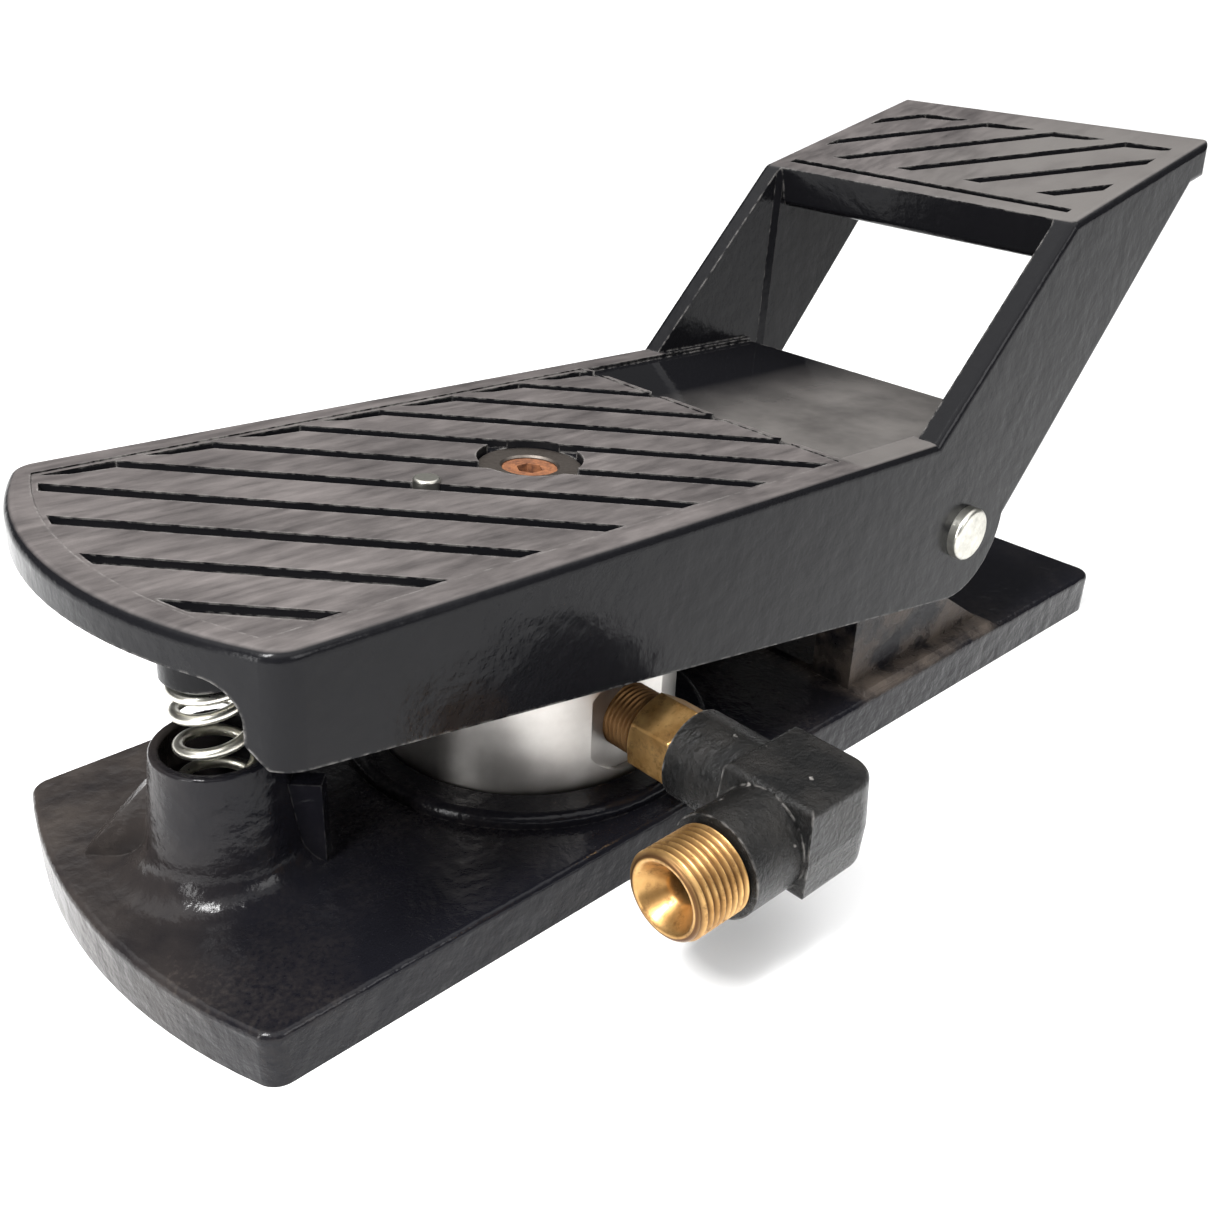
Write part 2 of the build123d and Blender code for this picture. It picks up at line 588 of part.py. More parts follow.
def stop_pin():
    """Pin through the plate: its lower end meets the valve body at full travel."""
    pin = cyl(STOP_PIN_RADIUS, 0, PLATE_TOP + 0.8)
    pin = fillet(pin.faces().sort_by(Axis.Z)[-1].edges(), 0.7)
    return Pos(STOP_PIN_U, STOP_PIN_Y, 0) * pin


# ---- valve ----------------------------------------------------------------------------
def port(side, radius):
    """Threaded port with a spot face, cut from the outside towards the middle."""
    outside = side * (VALVE_RADIUS + 5)
    face = side * SPOT_FACE_Y
    floor = side * (SPOT_FACE_Y - PORT_DEPTH)
    spot = cyl_y(SPOT_FACE_RADIUS, *sorted((face, outside)), 0, PORT_Z)
    return spot + cyl_y(radius, *sorted((floor, outside)), 0, PORT_Z)


def valve_body():
    body = cyl(VALVE_RADIUS, BASE_THICKNESS, VALVE_TOP_Z)
    body = chamfer(body.edges().filter_by(GeomType.CIRCLE), 0.8)
    body += cyl(SPIGOT_RADIUS, SPIGOT_BOTTOM_Z, BASE_THICKNESS + 1)
    body -= cyl(CHAMBER_RADIUS, 0, SEAT_Z)
    body -= cyl(CHAMBER_RADIUS + 2, 0, PLUG_TOP_Z + 1)
    body -= cyl(SEAT_RADIUS, SEAT_Z - 1, SEAT_TOP_Z + 1)
    body -= cyl(CHAMBER_RADIUS, SEAT_TOP_Z, VALVE_TOP_Z)
    body -= cyl(BONNET_RADIUS, BONNET_SEAT_Z, VALVE_TOP_Z + 1)
    body -= port(-1, OUTLET_RADIUS)
    body -= port(1, INLET_RADIUS)
    above_seat = SEAT_TOP_Z + PASSAGE_RADIUS + 0.5
    below_seat = SEAT_Z - PASSAGE_RADIUS - 0.5
    body -= cyl_y(PASSAGE_RADIUS, -SPOT_FACE_Y, -CHAMBER_RADIUS + 3, 0, above_seat)
    body -= cyl_y(PASSAGE_RADIUS, CHAMBER_RADIUS - 3, SPOT_FACE_Y, 0, below_seat)
    for place in valve_screw_places():
        body -= place * cyl(VALVE_SCREW_RADIUS, BASE_THICKNESS - 1, 27)
    return body


def valve_bonnet():
    shoulder = VALVE_TOP_Z + GASKET_THICKNESS
    bonnet = cyl(BONNET_RADIUS, BONNET_SEAT_Z, shoulder) + hexagon(BONNET_FLATS, shoulder, BONNET_TOP_Z)
    bonnet -= cyl(PLUNGER_RADIUS + RUNNING_FIT, BONNET_SEAT_Z - 1, BONNET_TOP_Z + 1)
    groove = PLUNGER_RADIUS + 2 * SEAL_WIRE + 0.1
    return bonnet - cyl(groove, PLUNGER_SEAL_Z - 1.25, PLUNGER_SEAL_Z + 1.25)


def bonnet_gasket():
    return tube(BONNET_RADIUS + 1.4, BONNET_RADIUS, VALVE_TOP_Z, VALVE_TOP_Z + GASKET_THICKNESS)


def plunger():
    """Rod with a round head for the adjuster screw and a groove for its retaining ring."""
    rod = cyl(PLUNGER_RADIUS, PLUNGER_BOTTOM_Z, PLUNGER_TOP_Z - 1)
    head = cyl(PLUNGER_HEAD_RADIUS, PLUNGER_TOP_Z - 3.2, PLUNGER_TOP_Z)
    head = fillet(head.faces().sort_by(Axis.Z)[-1].edges(), 1.2)
    groove = tube(PLUNGER_RADIUS + 1, PLUNGER_RADIUS - 0.8, PLUNGER_RING_Z - 0.6, PLUNGER_RING_Z + 0.6)
    return rod + head - groove


def plunger_seal():
    return Pos(0, 0, PLUNGER_SEAL_Z) * Torus(PLUNGER_RADIUS + RUNNING_FIT + SEAL_WIRE, SEAL_WIRE)


def plunger_retaining_ring():
    ring = tube(PLUNGER_RADIUS + 2.2, PLUNGER_RADIUS - 0.8, PLUNGER_RING_Z - 0.5, PLUNGER_RING_Z + 0.5)
    return ring - block((0, 12), (-2, 2), (PLUNGER_RING_Z - 5, PLUNGER_RING_Z + 5))


def poppet():
    """Disc with a stem up to the plunger and a short guide for its spring."""
    disc = cyl(POPPET_RADIUS, POPPET_BOTTOM_Z, POPPET_DISC_TOP_Z)
    disc += cyl(4.0, POPPET_DISC_TOP_Z - 1, PLUNGER_BOTTOM_Z - 0.3)
    disc += cyl(4.2, POPPET_BOTTOM_Z - 4, POPPET_BOTTOM_Z + 1)
    return chamfer(disc.faces().sort_by(Axis.Z)[0].edges(), 0.6)


def poppet_seal():
    return tube(POPPET_RADIUS - 0.5, 4.0, POPPET_DISC_TOP_Z, SEAT_Z - 0.05)


def bottom_plug():
    plug = cyl(CHAMBER_RADIUS + 2, SPIGOT_BOTTOM_Z, PLUG_TOP_Z)
    plug -= cyl(8, POPPET_SPRING_FLOOR_Z, PLUG_TOP_Z + 1)
    return plug - hexagon(10, SPIGOT_BOTTOM_Z - 1, SPIGOT_BOTTOM_Z + 2.6)


def bottom_plug_seal():
    return tube(CHAMBER_RADIUS + 2, CHAMBER_RADIUS - 2, PLUG_TOP_Z, PLUG_TOP_Z + 1)


def valve_screws():
    screws = []
    for place in valve_screw_places():
        screw = cyl(VALVE_SCREW_HEAD, 0.5, VALVE_SCREW_HEAD_TOP) + cyl(VALVE_SCREW_RADIUS, 6, 26)
        screws.append(place * (screw - hexagon(5, 0, 3.4)))
    return Compound(screws)


# ---- outlet fittings ------------------------------------------------------------------
def brass_nipple():
    """Hexagon nipple between the valve body and the elbow."""
    inner_y = PORT_DEPTH - SPOT_FACE_Y - 1
    outer_y = ELBOW_FACE_Y - THREAD_ENGAGED
    hexa = hexagon(HEX_FLATS, 0, HEX_NEAR_Y - ELBOW_FACE_Y, turn=HEX_TURN)
    hexa = Pos(VALVE_X, HEX_NEAR_Y, PORT_Z) * Rot(90, 0, 0) * hexa
    nipple = cyl_y(OUTLET_RADIUS, outer_y, inner_y, VALVE_X, PORT_Z) + hexa
    return nipple - cyl_y(FITTING_BORE, outer_y - 1, inner_y + 1, VALVE_X, PORT_Z)


def elbow():
    """Right-angle elbow: two round hubs and a square corner with draft above and below its middle."""
    plan = Rectangle(2 * ELBOW_HALF, 2 * ELBOW_HALF)
    outer_corner = plan.vertices().sort_by(Axis.X)[-2:].sort_by(Axis.Y)[0]
    plan = fillet(outer_corner, 9.0)
    upper = extrude(plan, ELBOW_TOP, taper=ELBOW_DRAFT)
    lower = mirror(extrude(plan, ELBOW_BOTTOM, taper=ELBOW_DRAFT), Plane.XY)
    corner = Pos(VALVE_X, ELBOW_Y, PORT_Z) * (upper + lower)
    corner = fillet(corner.faces().sort_by(Axis.Z)[0].edges(), 3.2)
    corner = fillet(corner.faces().sort_by(Axis.Z)[-1].edges(), 1.6)
    fitting = corner + cyl_y(ELBOW_INLET_RADIUS, ELBOW_Y, ELBOW_FACE_Y, VALVE_X, PORT_Z)
    fitting += cyl_x(ELBOW_OUTLET_RADIUS, CONNECTOR_SHOULDER_X, VALVE_X, ELBOW_Y, PORT_Z)
    inlet_end = ELBOW_FACE_Y - THREAD_ENGAGED - 1
    outlet_end = CONNECTOR_SHOULDER_X + THREAD_ENGAGED + 1
    fitting -= cyl_y(OUTLET_RADIUS, inlet_end, ELBOW_FACE_Y + 1, VALVE_X, PORT_Z)
    fitting -= cyl_x(OUTLET_RADIUS, CONNECTOR_SHOULDER_X - 1, outlet_end, ELBOW_Y, PORT_Z)
    fitting -= cyl_y(FITTING_BORE, ELBOW_Y - 5, ELBOW_FACE_Y, VALVE_X, PORT_Z)
    return fitting - cyl_x(FITTING_BORE, CONNECTOR_SHOULDER_X, VALVE_X + 5, ELBOW_Y, PORT_Z)


def hose_connector():
    """Straight male thread with an internal cone seat for the hose nut."""
    thread = cyl_x(CONNECTOR_RADIUS, CONNECTOR_FACE_X, CONNECTOR_SHOULDER_X, ELBOW_Y, PORT_Z)
    thread = chamfer(thread.faces().sort_by(Axis.X)[0].edges(), 1.0)
    shank_end = CONNECTOR_SHOULDER_X + THREAD_ENGAGED
    shank = cyl_x(OUTLET_RADIUS, CONNECTOR_SHOULDER_X - 1, shank_end, ELBOW_Y, PORT_Z)
    cone = Rot(0, 90, 0) * Cone(CONNECTOR_MOUTH, CONNECTOR_BORE, CONNECTOR_CONE)
    cone = Pos(CONNECTOR_FACE_X + CONNECTOR_CONE / 2, ELBOW_Y, PORT_Z) * cone
    bore = cyl_x(CONNECTOR_BORE, CONNECTOR_FACE_X - 1, shank_end + 2, ELBOW_Y, PORT_Z)
    return thread + shank - cone - bore


save(base_casting(), "base_casting")
save(to_treadle(treadle_casting()), "treadle_casting")
save(to_treadle(pivot_pin()), "pivot_pin")
save(to_treadle(pin_washer()), "pin_washer")
save(to_treadle(pin_retaining_ring()), "pin_retaining_ring")
save(pivot_bushing(-1), "pivot_bushing_near")
save(pivot_bushing(1), "pivot_bushing_far")
save(return_spring(), "return_spring")
save(to_treadle(adjuster_bushing()), "adjuster_bushing")
save(to_treadle(adjuster_screw()), "adjuster_screw")
save(to_treadle(adjuster_lock_nut()), "adjuster_lock_nut")
save(to_treadle(stop_pin()), "stop_pin")
save(to_valve(valve_body()), "valve_body")
save(to_valve(valve_bonnet()), "valve_bonnet")
save(to_valve(bonnet_gasket()), "bonnet_gasket")
save(to_valve(plunger()), "plunger")
save(to_valve(plunger_seal()), "plunger_seal")
save(to_valve(plunger_retaining_ring()), "plunger_retaining_ring")
save(to_valve(poppet()), "poppet")
save(to_valve(poppet_seal()), "poppet_seal")
save(to_valve(poppet_spring()), "poppet_spring")
save(to_valve(bottom_plug()), "bottom_plug")
save(to_valve(bottom_plug_seal()), "bottom_plug_seal")
save(to_valve(valve_screws()), "valve_screws")
save(brass_nipple(), "brass_nipple")
save(elbow(), "elbow")
save(hose_connector(), "hose_connector")
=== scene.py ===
import math

import bpy
from mathutils import Matrix, Vector


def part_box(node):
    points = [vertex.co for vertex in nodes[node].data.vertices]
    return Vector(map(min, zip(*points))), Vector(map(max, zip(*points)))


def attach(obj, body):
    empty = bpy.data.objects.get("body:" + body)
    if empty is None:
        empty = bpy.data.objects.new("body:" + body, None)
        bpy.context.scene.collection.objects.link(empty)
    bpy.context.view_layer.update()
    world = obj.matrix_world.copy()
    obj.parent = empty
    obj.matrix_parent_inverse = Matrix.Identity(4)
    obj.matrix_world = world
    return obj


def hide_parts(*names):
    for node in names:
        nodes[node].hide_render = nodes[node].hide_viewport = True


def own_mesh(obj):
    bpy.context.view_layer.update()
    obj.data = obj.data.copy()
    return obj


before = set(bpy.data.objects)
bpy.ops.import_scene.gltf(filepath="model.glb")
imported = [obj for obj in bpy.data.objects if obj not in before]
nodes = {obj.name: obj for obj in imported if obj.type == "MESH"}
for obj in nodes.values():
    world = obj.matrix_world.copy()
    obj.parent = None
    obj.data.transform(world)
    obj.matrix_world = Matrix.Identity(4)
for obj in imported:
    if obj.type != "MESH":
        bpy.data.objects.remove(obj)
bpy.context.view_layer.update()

# Foot treadle air valve. The CAD nodes get paint, metal and rubber, and the two brass fittings
# and the two springs are modelled here with real threads and ground ends. Lengths are in metres,
# +X runs from the nose to the pivot and +Z is up.

# ---- directions -------------------------------------------------------------------------
X = (1, 0, 0)
Z = (0, 0, 1)
NEAR = (0, -1, 0)                       # towards the side with the fittings
FAR_NOSE = (-0.8, 0.6, 0)               # towards the far corner of the nose

# ---- places from the CAD model ----------------------------------------------------------
PIVOT = Vector((0.0736, 0, 0.0572))
TILT = math.radians(2.45)               # of the treadle plate, nose up at rest
PLATE_TOP = 0.0305                      # above the pivot, square to the plate
RISER_FOOT_U = -0.0218                  # foot of the leaning walls, along the plate from the pivot
FIELD_REAR_U = -0.055                   # where the grooved field ends and the smooth shelf begins
STEP_FRONT = (0.0295, 0.0863)           # along and square to the plate, from the pivot
STEP_REAR = (0.1049, 0.1062)
STEP_SLOPE = math.atan2(STEP_REAR[1] - STEP_FRONT[1], STEP_REAR[0] - STEP_FRONT[0])
LUG_FRONT = (0.030, 0.038)              # x over which the rough skin round the lugs fades in
LUG_REAR = (0.104, 0.109)               # x over which it fades out
SLAB_TOP = (0.0125, 0.0140)             # z over which it fades in
DUST = (0.100, 0.150)                   # towards the far nose corner, where the dust fades in
VALVE_X = -0.0452
PORT_Z = 0.0341
FITTING_Y = -0.0943                     # of the hose connector's axis

# ---- fittings and springs ---------------------------------------------------------------
CONNECTOR_PLACE = (-0.0736, FITTING_Y, PORT_Z)
CONNECTOR_LENGTH = 0.0156
CONNECTOR_CREST = 0.01062               # radius over the half-inch pipe thread
CONNECTOR_THREAD = (0.001814, 0.00105)  # pitch and depth
CONNECTOR_BACK = -0.0110                # the hidden end, inside the elbow
THREAD_ROOT = (0.0095, 0.0106)          # radii over which the connector's thread is browner
CONE_RIM = (0.0088, 0.0091)             # radii that part the thread from the cone
CONNECTOR_SIDE = (0.080, 0.081)         # towards the near side, past which brass is the connector
BARE_THREAD_START = (0.036, 0.0365)     # towards the near side, between valve body and hexagon
BARE_THREAD_END = (0.0478, 0.0488)
CONE_MOUTH = 0.0083
CONE_DEPTH = 0.006
CONE_NARROWING = 0.0042                 # in radius, from the mouth to the bore
CONNECTOR_BORE = 0.0041
NIPPLE_PLACE = (VALVE_X, -0.0391, PORT_Z)
NIPPLE_CREST = 0.00857
NIPPLE_THREAD = (0.00141, 0.0008)
NIPPLE_BORE = 0.0056
HALF_FLATS = 0.009525                   # 3/4 in hexagon
HEXAGON_TURN = math.radians(27.0)
HEXAGON_FRONT = 0.0096
HEXAGON_BACK = 0.0233
HEXAGON_CHAMFER = (0.0009, 0.00152)     # along the axis and outwards
HEXAGON_NECK = 0.0095
AROUND_FITTING = 120
SPRING_X = -0.1365
SPRING_START = math.radians(173.0)      # where the wire begins on the floor of the cup
RETURN_COIL = (0.0096, 0.0027, 5.5)     # outer radius, wire diameter and turns
POPPET_COIL = (0.0064, 0.0012, 6)


# ---- shader helpers ---------------------------------------------------------------------
def node(tree, kind, inputs=(), **settings):
    """A shader node with its settings, and each input either linked or given a value."""
    made = tree.nodes.new("ShaderNode" + kind)
    for name, value in settings.items():
        setattr(made, name, value)
    for key, value in dict(inputs).items():
        if isinstance(value, bpy.types.NodeSocket):
            tree.links.new(value, made.inputs[key])
        else:
            made.inputs[key].default_value = value
    return made


def noise(tree, where, scale, detail=4.0, rough=0.55):
    """Fractal noise about 0.5; scale is in features to the metre."""
    inputs = {"Vector": where, "Scale": scale, "Detail": detail, "Roughness": rough}
    return node(tree, "TexNoise", inputs).outputs[0]


def spread(tree, value, low, high, to_low=0.0, to_high=1.0):
    """Maps low..high onto to_low..to_high, clamped."""
    inputs = {0: value, 1: low, 2: high, 3: to_low, 4: to_high}
    return node(tree, "MapRange", inputs, clamp=True).outputs[0]


def math_node(tree, operation, a, b):
    return node(tree, "Math", {0: a, 1: b}, operation=operation).outputs[0]


def times(tree, a, b):
    return math_node(tree, "MULTIPLY", a, b)


def plus(tree, a, b):
    return math_node(tree, "ADD", a, b)


def higher(tree, a, b):
    return math_node(tree, "MAXIMUM", a, b)


def mix(tree, factor, a, b):
    """Colour a where the factor is 0 and b where it is 1."""
    return node(tree, "Mix", {0: factor, 6: a, 7: b}, data_type="RGBA").outputs[2]


def along(tree, where, direction, offset=0.0):
    """Distance of a point along a direction, less an offset."""
    dot = node(tree, "VectorMath", {0: where, 1: direction}, operation="DOT_PRODUCT").outputs["Value"]
    return math_node(tree, "SUBTRACT", dot, offset)


def colour(red, green, blue):
    """Linear colour, opaque."""
    return (red, green, blue, 1.0)


# ---- colours ----------------------------------------------------------------------------
BASE_PAINT = colour(0.006, 0.006, 0.008)
BASE_DUST = colour(0.082, 0.068, 0.058)
BASE_CAST_SKIN = colour(0.072, 0.058, 0.048)
BASE_EDGE = colour(0.15, 0.14, 0.13)
TREADLE_PAINT = colour(0.006, 0.006, 0.007)
TREAD_DARK = colour(0.056, 0.050, 0.049)
TREAD_LIGHT = colour(0.135, 0.121, 0.117)
# worn paint and a painted highlight along the treadle's sharp edges
TREADLE_EDGE_WEAR_AND_HIGHLIGHT = colour(0.22, 0.21, 0.20)
# the near half of the smooth shelf: paint worn by rubbing, lightened further as a painted reflection
SHELF_RUBBED_AND_REFLECTION = colour(0.120, 0.112, 0.106)
FITTING_DARK = colour(0.005, 0.005, 0.005)
FITTING_LIGHT = colour(0.014, 0.013, 0.012)
FITTING_NICK = colour(0.19, 0.18, 0.17)
BRASS_DARK = colour(0.34, 0.185, 0.060)
BRASS_LIGHT = colour(0.60, 0.37, 0.145)
BRASS_TARNISH = colour(0.075, 0.032, 0.011)
ALUMINIUM_DARK = colour(0.50, 0.475, 0.45)
ALUMINIUM_LIGHT = colour(0.66, 0.64, 0.61)
# painted shade: what the valve body darkens to at its foot, where the base shades it
ALUMINIUM_FOOT_SHADE = colour(0.20, 0.18, 0.16)
RUST_DARK = colour(0.090, 0.030, 0.012)
RUST_LIGHT = colour(0.250, 0.095, 0.036)
RUBBER_DARK = colour(0.012, 0.012, 0.012)
RUBBER_LIGHT = colour(0.028, 0.027, 0.026)


def start(name, metallic=0.0, specular=0.5):
    """A new material: its tree, its shader and its object coordinates."""
    made = bpy.data.materials.new(name)
    made.use_nodes = True
    tree = made.node_tree
    shader = tree.nodes["Principled BSDF"]
    shader.inputs["Metallic"].default_value = metallic
    shader.inputs["Specular IOR Level"].default_value = specular
    where = node(tree, "TexCoord").outputs["Object"]
    return made, tree, shader, where


def finish_with(tree, shader, base, roughness, height, distance, strength):
    """Links the colour and the roughness, and turns a height into bumps."""
    tree.links.new(base, shader.inputs["Base Color"])
    tree.links.new(roughness, shader.inputs["Roughness"])
    bump = node(tree, "Bump", {"Height": height, "Distance": distance, "Strength": strength})
    tree.links.new(bump.outputs[0], shader.inputs["Normal"])


def edge_wear(tree, where, radius, low, high):
    """1 on sharp edges, broken up by noise; low and high are how far the surface turns there."""
    bevel = node(tree, "Bevel", {"Radius": radius}, samples=4).outputs[0]
    normal = node(tree, "NewGeometry").outputs["Normal"]
    dot = node(tree, "VectorMath", {0: bevel, 1: normal}, operation="DOT_PRODUCT").outputs["Value"]
    turned = math_node(tree, "SUBTRACT", 1.0, dot)
    broken = spread(tree, noise(tree, where, 420, 5), 0.42, 0.62)
    return times(tree, spread(tree, turned, low, high), broken)


def plane_mask(tree, where, direction, offset, depth, fade=0.0002):
    """1 within a depth below a plane, 0 further down."""
    height = along(tree, where, direction, offset)
    return spread(tree, height, -depth - fade, -depth)


def facing(tree, direction, low=0.80, high=0.95):
    """1 where a surface faces a direction."""
    normal = node(tree, "NewGeometry").outputs["Normal"]
    local = node(tree, "VectorTransform", {0: normal}, vector_type="NORMAL", convert_from="WORLD",
                 convert_to="OBJECT").outputs[0]
    return spread(tree, along(tree, local, direction), low, high)


# ---- painted castings -------------------------------------------------------------------
def enamel_height(tree, where, pits):
    """Orange peel over a sand-cast skin."""
    peel = noise(tree, where, 240, 3, 0.5)
    skin = noise(tree, where, 900, 4, 0.6)
    waves = times(tree, noise(tree, where, 85, 2, 0.5), 1.5)
    return plus(tree, plus(tree, peel, waves), times(tree, skin, pits))


def make_base_enamel():
    """Gloss black, dusty at the nose's far corner, with a rough cast skin round the lugs."""
    made, tree, shader, where = start("black_enamel", specular=0.15)
    patches = noise(tree, where, 26, 5, 0.6)
    grain = noise(tree, where, 700, 4, 0.65)
    dusty = times(tree, spread(tree, patches, 0.46, 0.66), spread(tree, grain, 0.35, 0.7))
    front = spread(tree, along(tree, where, FAR_NOSE), *DUST)
    dusty = times(tree, dusty, spread(tree, front, 0, 1, 0.16, 1.0))
    haze = times(tree, front, spread(tree, patches, 0.34, 0.66, 0.06, 0.70))
    dusty = higher(tree, dusty, haze)
    base = mix(tree, dusty, BASE_PAINT, BASE_DUST)
    lug = times(tree, spread(tree, along(tree, where, X), *LUG_FRONT),
                spread(tree, along(tree, where, X), *LUG_REAR, 1.0, 0.0))
    lug = times(tree, lug, spread(tree, along(tree, where, Z), *SLAB_TOP))
    rough_cast = times(tree, lug, spread(tree, noise(tree, where, 55, 4, 0.6), 0.40, 0.60))
    base = mix(tree, rough_cast, base, BASE_CAST_SKIN)
    worn = times(tree, edge_wear(tree, where, 0.0007, 0.03, 0.14), 0.25)
    base = mix(tree, worn, base, BASE_EDGE)
    roughness = spread(tree, noise(tree, where, 40, 4), 0.3, 0.7, 0.07, 0.17)
    roughness = plus(tree, roughness, times(tree, dusty, 0.30))
    roughness = plus(tree, roughness, times(tree, rough_cast, 0.30))
    pits = spread(tree, lug, 0, 1, 0.20, 0.9)
    finish_with(tree, shader, base, roughness, enamel_height(tree, where, pits), 0.00040, 0.9)
    return made


def make_treadle_enamel():
    """Gloss black, worn grey on the tread, with worn edges lightened further as a painted highlight, and the
    near half of the smooth shelf lightened by rubbing and by a painted reflection.
    """
    made, tree, shader, where = start("worn_black_enamel", specular=0.12)
    plate_up = (math.sin(TILT), 0, math.cos(TILT))
    plate_along = (math.cos(TILT), 0, -math.sin(TILT))
    up = Vector(plate_up)
    forward = Vector(plate_along)
    plate_level = PIVOT.dot(up) + PLATE_TOP
    on_plate = plane_mask(tree, where, plate_up, plate_level, 0.00062)
    past_riser = along(tree, where, plate_along, PIVOT.dot(forward) + RISER_FOOT_U)
    before_riser = spread(tree, past_riser, 0.0, 0.002, 1.0, 0.0)
    on_plate = times(tree, on_plate, before_riser)
    step_up = up * math.cos(STEP_SLOPE) - forward * math.sin(STEP_SLOPE)
    step_point = PIVOT + forward * STEP_FRONT[0] + up * STEP_FRONT[1]
    on_step = plane_mask(tree, where, tuple(step_up), step_point.dot(step_up), 0.0006)
    tread = higher(tree, on_plate, on_step)
    tread = times(tree, tread, facing(tree, plate_up))
    turned = {"Vector": where, "Scale": (0.18, 1.0, 1.0), "Rotation": (0, 0, 0.785)}
    streaks = node(tree, "Mapping", turned).outputs[0]
    scuffs = noise(tree, streaks, 260, 5, 0.65)
    patches = noise(tree, where, 34, 4, 0.6)
    worn = times(tree, tread, spread(tree, patches, 0.25, 0.60, 0.55, 1.0))
    worn_colour = mix(tree, spread(tree, scuffs, 0.3, 0.7), TREAD_DARK, TREAD_LIGHT)
    base = mix(tree, worn, TREADLE_PAINT, worn_colour)
    # Worn edges and a painted highlight: every sharp edge of the treadle is lightened, standing in for thin
    # bright glints along it.
    edges = edge_wear(tree, where, 0.0010, 0.03, 0.14)
    base = mix(tree, times(tree, edges, 0.8), base, TREADLE_EDGE_WEAR_AND_HIGHLIGHT)
    past_field = along(tree, where, plate_along, PIVOT.dot(forward) + FIELD_REAR_U)
    on_shelf = spread(tree, past_field, -0.001, 0.001)
    on_shelf = times(tree, on_shelf, facing(tree, plate_up))
    # Near half of the shelf: paint worn by rubbing and a painted reflection, lighter towards the near side.
    rubbed_and_reflection = spread(tree, along(tree, where, NEAR), -0.020, 0.012)
    rubbed_and_reflection = times(tree, rubbed_and_reflection, spread(tree, patches, 0.28, 0.62, 0.45, 1.0))
    base = mix(tree, times(tree, on_shelf, rubbed_and_reflection), base, SHELF_RUBBED_AND_REFLECTION)
    gloss = spread(tree, noise(tree, where, 45, 4), 0.3, 0.7, 0.12, 0.24)
    gloss = spread(tree, on_shelf, 0, 1, gloss, 0.06)
    satin = spread(tree, scuffs, 0.3, 0.7, 0.36, 0.50)
    roughness = spread(tree, worn, 0, 1, gloss, satin)
    bumps = times(tree, enamel_height(tree, where, 0.22), spread(tree, on_shelf, 0, 1, 1.0, 0.25))
    finish_with(tree, shader, base, roughness, bumps, 0.00022, 0.8)
    return made


def make_fitting_black():
    """Black malleable iron with small bright nicks."""
    made, tree, shader, where = start("black_fitting", specular=0.22)
    cast = noise(tree, where, 520, 5, 0.7)
    blotches = noise(tree, where, 95, 4, 0.6)
    base = mix(tree, spread(tree, blotches, 0.38, 0.68), FITTING_DARK, FITTING_LIGHT)
    nicks = spread(tree, noise(tree, where, 300, 2, 0.5), 0.69, 0.72)
    nicks = times(tree, nicks, spread(tree, noise(tree, where, 60, 2), 0.5, 0.56))
    worn = higher(tree, edge_wear(tree, where, 0.0010, 0.03, 0.16), nicks)
    base = mix(tree, worn, base, FITTING_NICK)
    roughness = spread(tree, blotches, 0.3, 0.7, 0.16, 0.34)
    finish_with(tree, shader, base, roughness, cast, 0.00060, 0.9)
    return made


# ---- bare metals, rubber ----------------------------------------------------------------
def make_metal(name, dark, light, rough_low, rough_high, grain, stretch=(1, 1, 1)):
    """Metal with a grain, drawn out along any axis that stretch makes small, and darker patches."""
    made, tree, shader, where = start(name, 1.0)
    lines = node(tree, "Mapping", {"Vector": where, "Scale": stretch}).outputs[0]
    fine = noise(tree, lines, grain, 4, 0.6)
    patches = noise(tree, where, 60, 4, 0.6)
    factor = plus(tree, times(tree, fine, 0.35), times(tree, patches, 0.65))
    base = mix(tree, spread(tree, factor, 0.36, 0.62), dark, light)
    roughness = spread(tree, factor, 0.3, 0.7, rough_high, rough_low)
    finish_with(tree, shader, base, roughness, fine, 0.00004, 0.6)
    return made


def make_brass():
    """Golden brass, browner in the thread roots and on the nipple's bare thread."""
    made, tree, shader, where = start("brass", 0.82)
    patches = noise(tree, where, 120, 4, 0.6)
    fine = noise(tree, where, 1500, 3, 0.6)
    golden = mix(tree, spread(tree, patches, 0.35, 0.65), BRASS_DARK, BRASS_LIGHT)
    axis = (0, FITTING_Y, PORT_Z)
    off_axis = node(tree, "VectorMath", {0: where, 1: axis}, operation="SUBTRACT").outputs[0]
    flat = node(tree, "VectorMath", {0: off_axis, 1: (0, 1, 1)}, operation="MULTIPLY").outputs[0]
    radius = node(tree, "VectorMath", {0: flat}, operation="LENGTH").outputs["Value"]
    outwards = along(tree, where, NEAR)
    root = times(tree, spread(tree, radius, *THREAD_ROOT, 1.0, 0.0), spread(tree, radius, *CONE_RIM))
    root = times(tree, root, spread(tree, outwards, *CONNECTOR_SIDE))
    bare = times(tree, spread(tree, outwards, *BARE_THREAD_END, 1.0, 0.0),
                 spread(tree, outwards, *BARE_THREAD_START))
    tarnish = higher(tree, times(tree, root, 0.95), times(tree, bare, 0.85))
    spots = spread(tree, noise(tree, where, 340, 5, 0.7), 0.50, 0.68)
    tarnish = higher(tree, tarnish, times(tree, spots, 0.70))
    base = mix(tree, tarnish, golden, BRASS_TARNISH)
    roughness = spread(tree, tarnish, 0.0, 1.0, 0.32, 0.52)
    finish_with(tree, shader, base, roughness, fine, 0.00004, 0.5)
    return made


